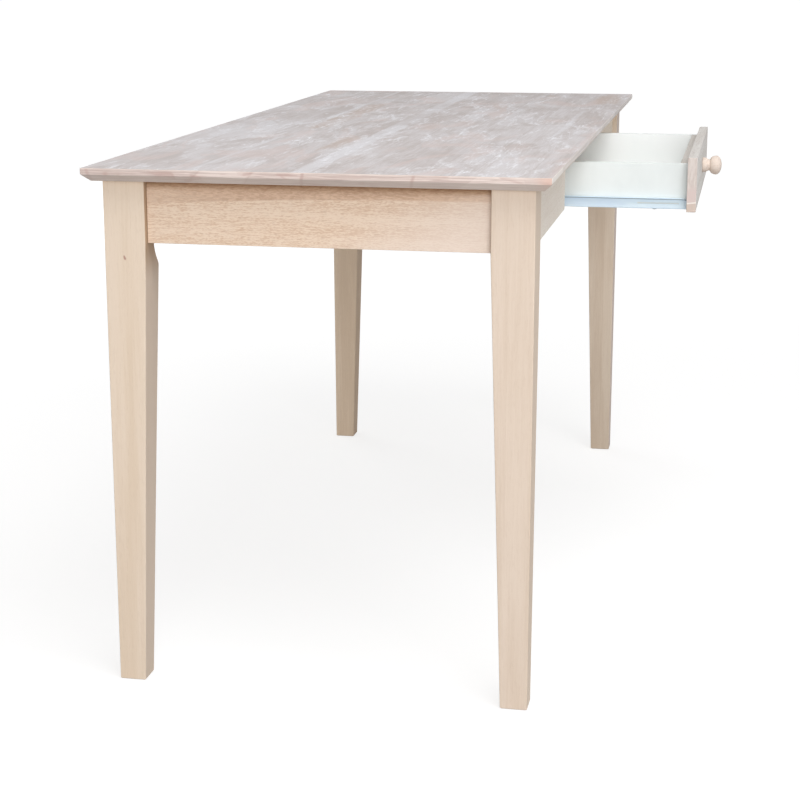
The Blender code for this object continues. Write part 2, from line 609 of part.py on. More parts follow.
def make_drawer(drawer):
    front = board("drawer_front", (-FRONT_HALF, 0, APRON_BOTTOM), (FRONT_HALF, FRONT_THICKNESS, FRONT_TOP),
                  DRAWER_FRONT_WOOD, drawer)

    between = BOX_HALF - BOX_WALL - SEAT_GAP
    groove = BOX_FRONT_BACK - GROOVE_DEPTH
    outline = [(BOX_START, BOX_BOTTOM), (BOX_START, BOX_TOP), (BOX_FRONT_BACK, BOX_TOP),
               (BOX_FRONT_BACK, GROOVE_TOP), (groove, GROOVE_TOP), (groove, GROOVE_BOTTOM),
               (BOX_FRONT_BACK, GROOVE_BOTTOM), (BOX_FRONT_BACK, BOX_BOTTOM)]
    bm = bmesh.new()
    add_bar(bm, [(-between, y, z) for y, z in outline], (2 * between, 0, 0))
    box_front = piece("drawer_box_front", bm, DRAWER_FRONT_WOOD, drawer)

    board("drawer_back", (-between, BOX_END - BOX_WALL, GROOVE_TOP), (between, BOX_END, BOX_TOP),
          DRAWER_WHITE, drawer)
    reach = BOX_HALF - BOX_WALL + GROOVE_DEPTH - GROOVE_END_ROOM
    panel = GROOVE_BOTTOM + SEAT_GAP
    board("drawer_bottom", (-reach, groove + GROOVE_END_ROOM, panel),
          (reach, BOX_END, panel + BOTTOM_THICKNESS), DRAWER_WHITE, drawer)

    knob = make_knob(drawer)
    screw_seat = BOX_FRONT_BACK + SEAT_GAP
    to_knob = screw_seat + SEAT_GAP + KNOB_SCREW_BITE
    to_front = screw_seat - FRONT_THICKNESS + FRONT_SCREW_BITE
    for name, x, length, pierced in (
        ("knob_screw", 0, to_knob, (box_front, front, knob)),
        ("front_screw_left", -FRONT_SCREW_SPAN / 2, to_front, (box_front, front)),
        ("front_screw_right", FRONT_SCREW_SPAN / 2, to_front, (box_front, front)),
    ):
        outwards = axis_place((x, screw_seat, KNOB_HEIGHT), (0, -1, 0))
        turned_piece(name, screw_profile(length, KNOB_SCREW_RADIUS, SCREW_HEAD_RADIUS, SCREW_HEAD_HEIGHT),
                     outwards, SCREW_SIDES, ZINC, drawer)
        bm = bmesh.new()
        add_turned(bm, hole_profile(length, KNOB_SCREW_RADIUS, SCREW_HEAD_HEIGHT), outwards, SCREW_SIDES)
        hole = cutter(name + "_hole", bm, drawer)
        for part in pierced:
            drill(part, hole)


def make_knob(drawer):
    """A mushroom knob: a plain foot, a narrower neck and a rounded head."""
    widest = KNOB_LENGTH - KNOB_DOME
    rise, swell = widest - KNOB_NECK_END, KNOB_HEAD_RADIUS - KNOB_NECK_RADIUS
    turns = [pi / 2 * i / KNOB_ARC_STEPS for i in range(KNOB_ARC_STEPS)]
    profile = [(0, KNOB_BASE_RADIUS), (KNOB_FOOT, KNOB_BASE_RADIUS), (KNOB_NECK_START, KNOB_NECK_RADIUS)]
    profile += [(widest - rise * cos(turn), KNOB_NECK_RADIUS + swell * sin(turn)) for turn in turns]
    profile += [(widest + KNOB_DOME * sin(turn), KNOB_HEAD_RADIUS * cos(turn)) for turn in turns]
    profile.append((KNOB_LENGTH, KNOB_TIP_RADIUS))
    outwards = axis_place((0, -SEAT_GAP, KNOB_HEIGHT), (0, -1, 0))
    return turned_piece("knob", profile, outwards, KNOB_SIDES, KNOB_WOOD, drawer)


# Assembly

for leftover in list(bpy.data.objects):
    bpy.data.objects.remove(leftover, do_unlink=True)

front_reach = APRON_Y + DRAWER_REST_OPEN + SEAT_GAP + KNOB_LENGTH
desk_frame = new_empty("desk_frame", (0, (front_reach - DESK_DEPTH / 2) / 2, 0))
drawer_frame = new_empty("drawer_frame", (0, -APRON_Y - DRAWER_REST_OPEN, 0), desk_frame)

make_tabletop(desk_frame)
make_aprons(desk_frame)
for corner_name in CORNERS:
    make_corner(corner_name, make_leg(corner_name, desk_frame), desk_frame)
make_drawer(drawer_frame)
for side_name, side_sign in SIDES.items():
    make_channel(side_name, side_sign, make_drawer_rail(side_name, side_sign, desk_frame), desk_frame)
    make_runner(side_name, side_sign, make_box_side(side_name, side_sign, drawer_frame), drawer_frame)
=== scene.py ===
import json
from math import cos, pi, radians, sin, sqrt

import bmesh
import bpy
from mathutils import Color, Matrix, Vector

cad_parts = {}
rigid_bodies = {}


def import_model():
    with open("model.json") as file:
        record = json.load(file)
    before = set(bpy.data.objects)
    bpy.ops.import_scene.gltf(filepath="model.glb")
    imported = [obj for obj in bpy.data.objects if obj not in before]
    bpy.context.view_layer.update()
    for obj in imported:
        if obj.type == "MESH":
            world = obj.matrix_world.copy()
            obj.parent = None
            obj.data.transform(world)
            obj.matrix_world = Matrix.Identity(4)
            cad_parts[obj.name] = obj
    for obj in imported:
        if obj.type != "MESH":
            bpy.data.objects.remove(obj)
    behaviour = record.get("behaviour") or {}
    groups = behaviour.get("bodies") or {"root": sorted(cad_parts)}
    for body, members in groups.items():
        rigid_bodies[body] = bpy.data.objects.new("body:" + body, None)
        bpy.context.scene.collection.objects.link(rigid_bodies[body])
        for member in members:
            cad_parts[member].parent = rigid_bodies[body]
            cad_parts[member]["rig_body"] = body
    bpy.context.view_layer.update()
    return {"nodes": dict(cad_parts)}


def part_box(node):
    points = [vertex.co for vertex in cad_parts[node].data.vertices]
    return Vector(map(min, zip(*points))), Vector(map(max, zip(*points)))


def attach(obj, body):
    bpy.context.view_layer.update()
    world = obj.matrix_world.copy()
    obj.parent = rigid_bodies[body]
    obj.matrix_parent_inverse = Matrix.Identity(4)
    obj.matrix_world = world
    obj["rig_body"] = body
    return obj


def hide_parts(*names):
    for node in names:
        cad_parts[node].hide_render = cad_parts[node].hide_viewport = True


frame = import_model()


# The aprons are five hardwood boards that tie the legs together under the top. They are sawn from glued-up
# stock, sanded and left bare. Two short ones at the front leave the opening for the drawer.


def middle(node):
    """The middle of a solid's box."""
    low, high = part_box(node)
    return (low + high) / 2


def srgb(red, green, blue):
    """A colour as a picture shows it, in steps of 255, made ready for a shader."""
    return (*Color((red / 255, green / 255, blue / 255)).from_srgb_to_scene_linear(), 1)


class Shade:
    """One value, vector or colour of a finish, so that its sums read as plain expressions."""

    def __init__(self, socket):
        self.socket = socket

    def node(self, kind, inputs, output=0, **settings):
        """Adds a node with its settings, and then gives its sockets their values or links."""
        tree = self.socket.id_data
        node = tree.nodes.new("ShaderNode" + kind)
        for name, value in settings.items():
            setattr(node, name, value)
        for name, value in inputs.items():
            if isinstance(value, Shade):
                tree.links.new(value.socket, node.inputs[name])
            else:
                node.inputs[name].default_value = value
        return Shade(node.outputs[output])

    def math(self, operation, *values):
        return self.node("Math", dict(enumerate(values)), operation=operation)

    def __add__(self, other):
        return self.math("ADD", self, other)

    def __radd__(self, other):
        return self.math("ADD", other, self)

    def __sub__(self, other):
        return self.math("SUBTRACT", self, other)

    def __rsub__(self, other):
        return self.math("SUBTRACT", other, self)

    def __mul__(self, other):
        return self.math("MULTIPLY", self, other)

    def __rmul__(self, other):
        return self.math("MULTIPLY", other, self)

    def __truediv__(self, other):
        return self.math("DIVIDE", self, other)

    def floor(self):
        return self.math("FLOOR", self)

    def fraction(self):
        return self.math("FRACT", self)

    def capped(self):
        return self.math("MINIMUM", self, 1.0)

    def size(self):
        return self.math("ABSOLUTE", self)

    def part(self, axis):
        return self.node("SeparateXYZ", {0: self}, output="XYZ".index(axis))

    def reach(self):
        """The distance from the origin."""
        return self.node("VectorMath", {0: self}, output="Value", operation="LENGTH")

    def facing(self, axis):
        """How far the surface at this place looks along an axis, between -1 and 1."""
        return self.node("NewGeometry", {}, output="Normal").part(axis)

    def moved(self, *shift):
        return self.node("VectorMath", {0: self, 1: shift}, operation="ADD")

    def scaled(self, *factors):
        return self.node("VectorMath", {0: self, 1: factors}, operation="MULTIPLY")

    def noise(self, detail=2.0, roughness=0.5, distortion=0.0):
        """Soft noise between 0 and 1 around this place, with about one blotch to a unit."""
        inputs = {"Vector": self, "Scale": 1.0, "Detail": detail, "Roughness": roughness}
        return self.node("TexNoise", {**inputs, "Distortion": distortion})

    def lot(self):
        """A random share between 0 and 1 for each whole number."""
        return self.node("TexWhiteNoise", {"W": self}, noise_dimensions="1D")

    def ramp(self, low, high):
        """0 below low, 1 above high and a smooth rise between them."""
        inputs = {"Value": self, "From Min": low, "From Max": high}
        return self.node("MapRange", inputs, interpolation_type="SMOOTHSTEP")

    def within(self, low, high, soft):
        """1 between low and high, and 0 outside."""
        return self.ramp(low - soft, low + soft) * (1 - self.ramp(high - soft, high + soft))

    def between(self, first, second):
        """The colour at this share of the way from a first one to a second."""
        return self.node("Mix", {0: self, 6: first, 7: second}, output=2, data_type="RGBA")

    def into(self, shader, socket):
        self.socket.id_data.links.new(self.socket, shader.inputs[socket])

    def relief(self, shader, strength, depth):
        """Gives a finish a fine relief with this height."""
        inputs = {"Height": self, "Strength": strength, "Distance": depth}
        self.node("Bump", inputs).into(shader, "Normal")


def new_finish(name):
    """A finish to fill in. Returns it with its shader and the place on the piece."""
    finish = bpy.data.materials.new(name)
    finish.use_nodes = True
    shader = finish.node_tree.nodes["Principled BSDF"]
    place = Shade(finish.node_tree.nodes.new("ShaderNodeTexCoord").outputs["Object"])
    return finish, shader, place


def faces_along(place, axis, low=0.6, high=0.8):
    """1 on the faces that look along an axis, and 0 on the others."""
    return place.facing(axis).size().ramp(low, high)


WOOD_SHINE = 0.2
GRAIN_STRENGTH = 0.25
GRAIN_DEPTH = 0.0003


def bare_wood(name, along, tones, pores, strip=0.0, across="Y", seed=0.0, flecks=0.3, marks=None):
    """Sanded bare wood with its grain along one axis: soft streaks, fine hairs, flecks and short dark pores.
    The tones are a pale one, a deep one and that of the pores. Glued-up stock changes its tone from strip to
    strip. Marks are painted over that."""
    finish, shader, place = new_finish(name)
    shader.inputs["Specular IOR Level"].default_value = WOOD_SHINE
    stock = place.moved(seed, 1.7 * seed, 2.3 * seed)

    def lines(cross, length):
        return stock.scaled(*(length if axis == along else cross for axis in "XYZ"))

    streaks = lines(38, 2.0).noise(3, 0.55, 0.7)
    hairs = lines(360, 10).noise(2, 0.6)
    ripple = lines(1200, 210).noise(1, 0.6, 0.3) * 0.55 + lines(700, 50).noise(1, 0.6, 0.3) * 0.45
    specks = lines(620, 85).noise(1).ramp(0.57, 0.70)
    pale, deep, pore = (srgb(*tone) for tone in tones)
    tone = streaks * 0.7 + hairs * 0.3 + (ripple - 0.5) * flecks
    if strip:
        tone = tone + ((stock.part(across) / strip).floor().lot() - 0.5) * 0.14
    colour = (specks * pores).between(tone.ramp(0.33, 0.69).between(pale, deep), pore)
    if marks:
        colour = marks(place, colour)
    colour.into(shader, "Base Color")
    (0.52 + hairs * 0.2).into(shader, "Roughness")
    (hairs * 0.5 - specks * 0.7).relief(shader, GRAIN_STRENGTH, GRAIN_DEPTH)
    return finish


def block(name, low, high):
    """A squared block between two corners."""
    bpy.ops.object.select_all(action="DESELECT")
    bpy.ops.mesh.primitive_cube_add(size=1, location=(low + high) / 2)
    piece = bpy.context.object
    piece.name = piece.data.name = name
    piece.scale = high - low
    bpy.ops.object.transform_apply()
    return piece


def choose(piece):
    """Makes a piece the only one that the next operators work on."""
    bpy.ops.object.select_all(action="DESELECT")
    piece.select_set(True)
    bpy.context.view_layer.objects.active = piece


def apply_all(piece):
    """Applies the modifiers of a piece in their order."""
    choose(piece)
    for modifier in list(piece.modifiers):
        bpy.ops.object.modifier_apply(modifier=modifier.name)


FLAT_WEIGHT = 100


def ease(piece, width, steps=3, angle=30):
    """Rounds the sharp edges of a piece as sanding does, and keeps its flats flat."""
    bevel = piece.modifiers.new("eased edges", "BEVEL")
    bevel.width = width
    bevel.segments = steps
    bevel.limit_method = "ANGLE"
    bevel.angle_limit = radians(angle)
    piece.modifiers.new("flat faces", "WEIGHTED_NORMAL").weight = FLAT_WEIGHT
    choose(piece)
    bpy.ops.object.shade_smooth()
    apply_all(piece)


def settle(piece, node, finish):
    """Gives a piece its finish, and puts it in the place of its solid on the body that carries it."""
    piece.data.materials.clear()
    piece.data.materials.append(finish)
    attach(piece, frame["nodes"][node]["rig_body"])
    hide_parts(node)


def set_board(name, node, edge, finish):
    """A squared board with eased edges, in the place of its solid."""
    board = block(name, *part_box(node))
    ease(board, edge)
    settle(board, node, finish)


DESK_MIDDLE = middle("tabletop").y
APRON_EDGE = 0.0009
APRON_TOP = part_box("apron_left")[1].z
APRON_TONES = ((243, 220, 198), (224, 192, 165), (182, 144, 114))
# Painted light: the left front apron's greyer wood is made paler still, for the shade under the top.
PALE_TONES_WITH_PAINTED_LIGHT = ((244, 236, 226), (231, 220, 208), (190, 166, 144))
# Painted shade: the right front apron is made darker, for the shade it stands in.
TAN_TONES_WITH_PAINTED_SHADE = ((242, 229, 212), (229, 213, 193), (190, 160, 132))
APRON_PORES = 0.2
LIVELY = 2.2
CALM = 0.5
STRIP_DEPTH = 0.0217
STRIP_SLOPE = 0.027
STRIP_BOW = 0.067


def darker_strip(place, colour):
    """The end apron pales towards its lower front end, and has a darker strip glued along its top. Painted
    shade darkens the strip most where it meets the underside of the top, and the strip fades towards its
    ends."""
    along = place.part("Y") - DESK_MIDDLE
    below = APRON_TOP - place.part("Z")
    pale_end = (below * 5.6 - along * 3.7).ramp(0.3, 1.25)
    colour = (pale_end * 0.7).between(colour, srgb(240, 224, 212))
    depth = STRIP_DEPTH + along * STRIP_SLOPE + along * along * STRIP_BOW
    strip = 1 - (below - depth).ramp(-0.0014, 0.0014)
    streak = place.scaled(500, 130, 640).noise(2, 0.6, 0.4).ramp(0.34, 0.66)
    dark = streak.between(srgb(227, 197, 172), srgb(206, 173, 148))
    # Painted shade: the strip is darkest just under the top, where the top's shadow falls.
    painted_shadow_colour = streak.between(srgb(157, 120, 86), srgb(140, 102, 70))
    strip_and_painted_shadow = below.ramp(-0.002, 0.0185).between(painted_shadow_colour, dark)
    ends = along.ramp(0.10, 0.25) + 1 - along.ramp(-0.26, -0.12)
    fading = ends * below.ramp(0.006, 0.014) * 0.5
    return (strip * (1 - fading)).between(colour, strip_and_painted_shadow)


apron_woods = {
    "apron_left": bare_wood("end_apron_wood", "Y", APRON_TONES, APRON_PORES, strip=0.034,
                            across="Z", seed=0.4, flecks=LIVELY, marks=darker_strip),
    "apron_right": bare_wood("far_apron_wood", "Y", APRON_TONES, APRON_PORES, strip=0.034,
                             across="Z", seed=1.9, flecks=LIVELY),
    "apron_back": bare_wood("back_apron_wood", "X", APRON_TONES, APRON_PORES, strip=0.041,
                            across="Z", seed=3.1, flecks=LIVELY),
    "apron_front_left": bare_wood("front_apron_wood_left", "X", PALE_TONES_WITH_PAINTED_LIGHT, APRON_PORES, strip=0.038,
                                  across="Z", seed=4.2, flecks=CALM),
    "apron_front_right": bare_wood("front_apron_wood_right", "X", TAN_TONES_WITH_PAINTED_SHADE, APRON_PORES, strip=0.038,
                                   across="Z", seed=4.9, flecks=CALM),
}
for node, wood in apron_woods.items():
    set_board("board_" + node, node, APRON_EDGE, wood)


# A corner block is glued across the inner corner of two aprons. It is sawn softwood, drilled for the bolt
# that draws the leg in and counterbored for the screw that holds the top. The solids have that shape already.

CORNERS = {"front_left": (-1, -1), "front_right": (1, -1), "back_left": (-1, 1), "back_right": (1, 1)}


def dress(node, finish):
    """Gives a finish to a solid that keeps its own shape."""
    materials = frame["nodes"][node].data.materials
    materials.clear()
    materials.append(finish)


SOFTWOOD_TONES = ((226, 203, 168), (206, 174, 134), (168, 130, 92))
SOFTWOOD_PORES = 0.4
sawn_wood = bare_wood("sawn_softwood", "Z", SOFTWOOD_TONES, SOFTWOOD_PORES, seed=6.0)
for corner in CORNERS:
    dress("corner_block_" + corner, sawn_wood)


# The legs are square posts glued up from three strips, plumb outside and tapered on their two inner faces.
# The inner corner is cut flat behind the aprons for the bolt, and the cut runs out just below them.

LEG_TOP = 0.0605
LEG_FOOT = 0.039
LEG_ROUND = 0.0012
LEG_CUT = 0.024
LEG_RUNOUT = 0.037
LEG_FOOT_EASE = 0.0012
LEG_STRIP = 0.0205
ROUND_STEPS = 4
TAPER_STEPS = 5
RUNOUT_STEPS = 10
APRON_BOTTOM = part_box("apron_left")[0].z
LEG_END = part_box("leg_front_left")[1].z
LEG_OUTER_Y = DESK_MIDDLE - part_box("leg_front_left")[0].y


def loft(name, rings, hollow=False):
    """A skin over rings of points, drawn out from the first ring to the last and closed at both ends.
    A hollow one has its last ring joined to its first."""
    bpy.ops.object.select_all(action="DESELECT")
    bpy.ops.mesh.primitive_circle_add(vertices=len(rings[0]))
    piece = bpy.context.object
    piece.name = piece.data.name = name
    bpy.ops.object.mode_set(mode="EDIT")
    bpy.ops.mesh.select_mode(type="VERT")
    bpy.ops.mesh.select_all(action="SELECT")
    mesh = bmesh.from_edit_mesh(piece.data)
    order = mesh.verts.layers.int.new("order")
    for number, vertex in enumerate(mesh.verts):
        vertex[order] = number
        vertex.co = rings[0][number]
    for ring in rings[1:]:
        bmesh.update_edit_mesh(piece.data)
        bpy.ops.mesh.extrude_region_move()
        mesh = bmesh.from_edit_mesh(piece.data)
        order = mesh.verts.layers.int["order"]
        for vertex in mesh.verts:
            if vertex.select:
                vertex.co = ring[vertex[order]]
    bmesh.update_edit_mesh(piece.data)
    if hollow:
        bpy.ops.mesh.select_all(action="DESELECT")
        bpy.ops.mesh.select_non_manifold()
        bpy.ops.mesh.bridge_edge_loops()
    else:
        bpy.ops.mesh.select_all(action="SELECT")
        bpy.ops.mesh.fill_holes(sides=0)
    bpy.ops.mesh.select_all(action="SELECT")
    bpy.ops.mesh.normals_make_consistent(inside=False)
    bpy.ops.object.mode_set(mode="OBJECT")
    piece.data.attributes.remove(piece.data.attributes["order"])
    return piece


def leg_ring(level, cut, inset=0.0):
    """The outline of the front left leg at a level, with three rounded corners and the cut one."""
    drop = max(0, (APRON_BOTTOM - level) / APRON_BOTTOM)
    size = LEG_TOP - (LEG_TOP - LEG_FOOT) * drop
    points = []
    for corner_x, corner_y, start in ((0, 0, 180), (1, 0, 270), (1, 1, 0), (0, 1, 90)):
        if (corner_x, corner_y) == (1, 1):
            soft = min(0.25 * cut, LEG_ROUND)
            points += [(size, size - cut - soft), (size - 0.15 * soft, size - cut + 0.5 * soft),
                       (size - soft, size - cut + soft), (size - cut + soft, size - soft),
                       (size - cut + 0.5 * soft, size - 0.15 * soft), (size - cut - soft, size)]
            continue
        middle_x = LEG_ROUND + corner_x * (size - 2 * LEG_ROUND)
        middle_y = LEG_ROUND + corner_y * (size - 2 * LEG_ROUND)
        for step in range(ROUND_STEPS + 1):
            turn = radians(start + 90 * step / ROUND_STEPS)
            points.append((middle_x + LEG_ROUND * cos(turn), middle_y + LEG_ROUND * sin(turn)))
    shrink = 1 - 2 * inset / size
    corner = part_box("leg_front_left")[0]
    return [Vector((corner.x + inset + x * shrink, corner.y + inset + y * shrink, level)) for x, y in points]


def copy_of(piece, name):
    """A copy of a piece, for the next operators to work on."""
    choose(piece)
    bpy.ops.object.duplicate()
    other = bpy.context.object
    other.name = other.data.name = name
    return other


def mirrored(piece, name, side_x, side_y):
    """A copy of a front left piece for its corner, with its faces turned out again."""
    other = copy_of(piece, name)
    other.scale = (-side_x, -side_y, 1)
    other.location.y = DESK_MIDDLE * (1 + side_y)
    bpy.ops.object.transform_apply()
    if side_x * side_y < 0:
        bpy.ops.object.mode_set(mode="EDIT")
        bpy.ops.mesh.select_all(action="SELECT")
        bpy.ops.mesh.normals_make_consistent(inside=False)
        bpy.ops.object.mode_set(mode="OBJECT")
    return other


def painted_shade_under_apron(place, colour):
    """Painted shade: the flat sawn off the inner corner, and the inner face beside it, are darker just below
    the apron, where it shades them.
    """
    inner_y = 1 - (place.part("Y") - DESK_MIDDLE).size().ramp(LEG_OUTER_Y - 0.040, LEG_OUTER_Y - 0.034)
    shade_below_apron = place.part("Z").ramp(APRON_BOTTOM - 0.060, APRON_BOTTOM)
    inner_faces = 1 - faces_along(place, "X", 0.8, 0.9)
    return (inner_y * inner_faces * shade_below_apron * 0.75).between(colour, srgb(168, 137, 105))


KNOT_X = -0.738
KNOT_Y = 0.3772
KNOT_Z = 0.634
KNOT_SLANT = 22


def knotted(place, colour):
    """A small slanted knot high on the outer face of the back left leg."""
    knot = place.moved(-KNOT_X, -KNOT_Y, -KNOT_Z)
    knot = knot.node("VectorRotate", {"Vector": knot, "Angle": radians(KNOT_SLANT)}, rotation_type="X_AXIS")
    wobble = place.scaled(400, 400, 400).noise(1) * 0.5
    spread = knot.scaled(90, 480, 210).reach() + wobble
    return ((1 - spread.ramp(0.6, 1.4)) * 0.8).between(colour, srgb(178, 130, 116))


def leg_marks(corner, painted_shade_tone):
    """Darkens the front face of a leg with painted shade, for the lesser light on that side. One leg has the
    knot as well.
    """
    def paint(place, colour):
        if corner == "back_left":
            colour = knotted(place, colour)
        front_shade = 1 - place.facing("Y").ramp(-0.8, -0.6)
        colour = (front_shade * 0.7).between(colour, srgb(*painted_shade_tone))
        return painted_shade_under_apron(place, colour)

    return paint


runout_start = APRON_BOTTOM - LEG_RUNOUT
leg_rings = [leg_ring(0, LEG_ROUND, LEG_FOOT_EASE), leg_ring(LEG_FOOT_EASE, LEG_ROUND)]
for step in range(1, TAPER_STEPS + 1):
    leg_rings.append(leg_ring(runout_start * step / TAPER_STEPS, LEG_ROUND))
for step in range(1, RUNOUT_STEPS + 1):
    share = step / RUNOUT_STEPS
    cut = LEG_CUT * sin(pi / 2 * share)
    leg_rings.append(leg_ring(runout_start + LEG_RUNOUT * share, max(LEG_ROUND, cut)))
leg_rings.append(leg_ring(LEG_END, LEG_CUT))
leg_pattern = loft("leg_pattern", leg_rings)

LEG_PORE = (184, 152, 126)
LEG_PORES = 0.07
# The front tones are painted shade. The back right leg, farthest under the top, is painted paler for its
# shade.
leg_tones_with_painted_light = {
    "front_left": ((232, 214, 197), (223, 203, 184), (214, 196, 178)),
    "back_left": ((239, 220, 200), (232, 211, 188), (206, 189, 174)),
    "front_right": ((229, 212, 193), (217, 197, 176), (206, 191, 184)),
    "back_right": ((249, 227, 202), (237, 213, 187), (182, 157, 134)),
}
for corner, (side_x, side_y) in CORNERS.items():
    leg = mirrored(leg_pattern, "tapered_leg_" + corner, side_x, side_y)
    bpy.ops.object.shade_smooth_by_angle(angle=radians(30))
    flats = leg.modifiers.new("flat faces", "WEIGHTED_NORMAL")
    flats.weight = FLAT_WEIGHT
    flats.keep_sharp = True
    apply_all(leg)
    pale, deep, painted_shade_tone = leg_tones_with_painted_light[corner]
    leg_wood = bare_wood("leg_wood_" + corner, "Z", (pale, deep, LEG_PORE), LEG_PORES, strip=LEG_STRIP,
                         seed=5.3 * side_y - 2.6 * side_x, flecks=0.25, marks=leg_marks(corner, painted_shade_tone))
    settle(leg, "leg_" + corner, leg_wood)
bpy.data.objects.remove(leg_pattern)


# Each leg hangs on a bolt with a wood thread in the leg and a machine thread through the corner block, where
# a flanged nut draws it tight. Both are zinc-plated steel. The nuts keep the shape of their solids.

BOLT_RADIUS = 0.004
BOLT_THREAD = 0.00045
BOLT_PITCH = 0.0014
BOLT_TIP = 0.004
BOLT_TIP_RADIUS = 0.0015
BOLT_END = 0.001
BOLT_IN_LEG = 0.035
BOLT_PAST_LEG = 0.0473
BOLT_LENGTH = BOLT_IN_LEG + BOLT_PAST_LEG
BOLT_START = (2 * LEG_TOP - LEG_CUT) / sqrt(2) - BOLT_IN_LEG
BOLT_LEVEL = middle("hanger_bolt_front_left").z


def turned(name, profile, sides, hollow=False):
    """A turned piece from its profile, pairs of a level along Z and a radius there."""
    turns = [2 * pi * number / sides for number in range(sides)]
    return loft(name, [[Vector((radius * cos(turn), radius * sin(turn), level)) for turn in turns]
                       for level, radius in profile], hollow)


def set_at(piece, start, direction):
    """Sets a piece that was made along Z at a start, pointing in a direction."""
    choose(piece)
    turn = Vector(direction).to_track_quat("Z", "Y").to_matrix().to_4x4()
    piece.matrix_world = Matrix.Translation(start) @ turn
    bpy.ops.object.transform_apply()
    return piece


def thread(start, end, radius, depth, pitch):
    """The profile of a screw thread, drawn as rings."""
    count = int((end - start) / pitch)
    profile = []
    for number in range(count):
        level = start + number * pitch
        profile += [(level, radius - depth), (level + 0.5 * pitch, radius)]
    return profile


zinc, shader, place = new_finish("zinc_plate")
shader.inputs["Metallic"].default_value = 1.0
cloud = place.scaled(260, 260, 260).noise(3)
cloud.ramp(0.3, 0.7).between(srgb(176, 178, 178), srgb(204, 205, 203)).into(shader, "Base Color")
(0.28 + cloud * 0.2).into(shader, "Roughness")

bolt_profile = [(0, BOLT_TIP_RADIUS), (BOLT_TIP, BOLT_RADIUS - BOLT_THREAD)]
bolt_profile += thread(BOLT_TIP + 0.5 * BOLT_END, BOLT_LENGTH - 2 * BOLT_END, BOLT_RADIUS, BOLT_THREAD,
                       BOLT_PITCH)
bolt_profile.append((BOLT_LENGTH - BOLT_END, BOLT_RADIUS - BOLT_THREAD))
bolt_profile.append((BOLT_LENGTH, BOLT_RADIUS - 2 * BOLT_THREAD))
bolt = turned("threaded_bolt", bolt_profile, 16)
bpy.ops.object.shade_smooth_by_angle(angle=radians(50))
for corner, (side_x, side_y) in CORNERS.items():
    low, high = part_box("leg_" + corner)
    outer = Vector((low.x if side_x < 0 else high.x, low.y if side_y < 0 else high.y, BOLT_LEVEL))
    inwards = Vector((-side_x, -side_y, 0)).normalized()
    leg_bolt = set_at(copy_of(bolt, "threaded_bolt_" + corner), outer + inwards * BOLT_START, inwards)
    settle(leg_bolt, "hanger_bolt_" + corner, zinc)
    dress("hanger_nut_" + corner, zinc)
bpy.data.objects.remove(bolt)


# Two softwood rails run from the front aprons to the back one and carry the drawer slides. Glue blocks in
# their corners stiffen the joints. All of it is sawn, glued and out of sight.

RAIL_EDGE = 0.0007

rail_wood = bare_wood("rail_softwood", "Y", SOFTWOOD_TONES, SOFTWOOD_PORES, strip=0.03, across="Z", seed=7.7)
for side in ("left", "right"):
    set_board("rail_board_" + side, "drawer_rail_" + side, RAIL_EDGE, rail_wood)
for corner in CORNERS:
    set_board("sawn_glue_block_" + corner, "glue_block_" + corner, RAIL_EDGE, sawn_wood)


# The tabletop is one glued panel of staves about 76 mm wide, butted end to end in each row. It is sanded
# flat and wiped with a thin white wash. Its edge is a square band over a long bevel that thins it below.

EDGE_BAND = 0.009
BEVEL_INSET = 0.0113
TOP_EASE = 0.0012
ROW_WIDTH = 0.076
FIRST_JOINT = 0.012


def pick(piece, kind, test):
    """Selects the faces or edges of a piece in edit mode that pass a test."""
    bpy.ops.mesh.select_mode(type=kind)
    bpy.ops.mesh.select_all(action="DESELECT")
    mesh = bmesh.from_edit_mesh(piece.data)
    for part in mesh.faces if kind == "FACE" else mesh.edges:
        if test(part):
            part.select_set(True)
    bmesh.update_edit_mesh(piece.data)


def slice_at(axis, level):
    """Cuts a piece in edit mode with a plane across an axis, and keeps both sides."""
    bpy.ops.mesh.select_all(action="SELECT")
    place = [level if name == axis else 0 for name in "XYZ"]
    bpy.ops.mesh.bisect(plane_co=place, plane_no=[float(name == axis) for name in "XYZ"])


top_low, top_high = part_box("tabletop")
top_size = top_high - top_low
top = block("glued_top", top_low, top_high)
bpy.ops.object.mode_set(mode="EDIT")
slice_at("Z", top_high.z - EDGE_BAND)
pick(top, "FACE", lambda face: face.normal.z < -0.9)
bpy.ops.transform.resize(value=(1 - 2 * BEVEL_INSET / top_size.x, 1 - 2 * BEVEL_INSET / top_size.y, 1),
                         center_override=middle("tabletop"))
bpy.ops.object.mode_set(mode="OBJECT")
ease(top, TOP_EASE)

top_wood, shader, place = new_finish("washed_top_wood")
length = place.part("X") - top_low.x
depth = top_high.y - place.part("Y")
height = place.part("Z")

# Each row is cut into staves of its own lengths, and each stave has its own tone and grain.
rows = (depth - FIRST_JOINT) / ROW_WIDTH
row = rows.floor()
staves = (length + (row + 4.6).lot() * 0.5) / (0.30 + (row + 17.3).lot() * 0.22)
stave_tone = (staves.floor() * 7.31 + row * 3.17 + 0.37).lot()
shift = place.node("CombineXYZ", {"X": stave_tone * 9, "Y": stave_tone * 4, "Z": row * 0.3})
stock = place.node("VectorMath", {0: place, 1: shift}, operation="ADD")
streaks = stock.scaled(2.2, 40, 40).noise(3, 0.55, 0.8)
hairs = stock.scaled(9, 380, 380).noise(2, 0.6)
specks = stock.scaled(70, 900, 900).noise(1).ramp(0.62, 0.70)
blotches = place.scaled(4.5, 13, 1).noise(5, 0.66, 0.9)
tone = blotches * 0.58 + streaks * 0.22 + hairs * 0.20 + stave_tone * 0.06
colour = tone.ramp(0.38, 0.68).between(srgb(209, 204, 205), srgb(183, 173, 170))
bare = tone.ramp(0.38, 0.68).between(srgb(222, 205, 188), srgb(199, 177, 156))
pink = place.moved(2.2, 4.4, 0).scaled(4, 11, 1).noise(4, 0.62, 0.8).ramp(0.50, 0.62)
colour = (pink * 0.4).between(colour, srgb(212, 193, 188))

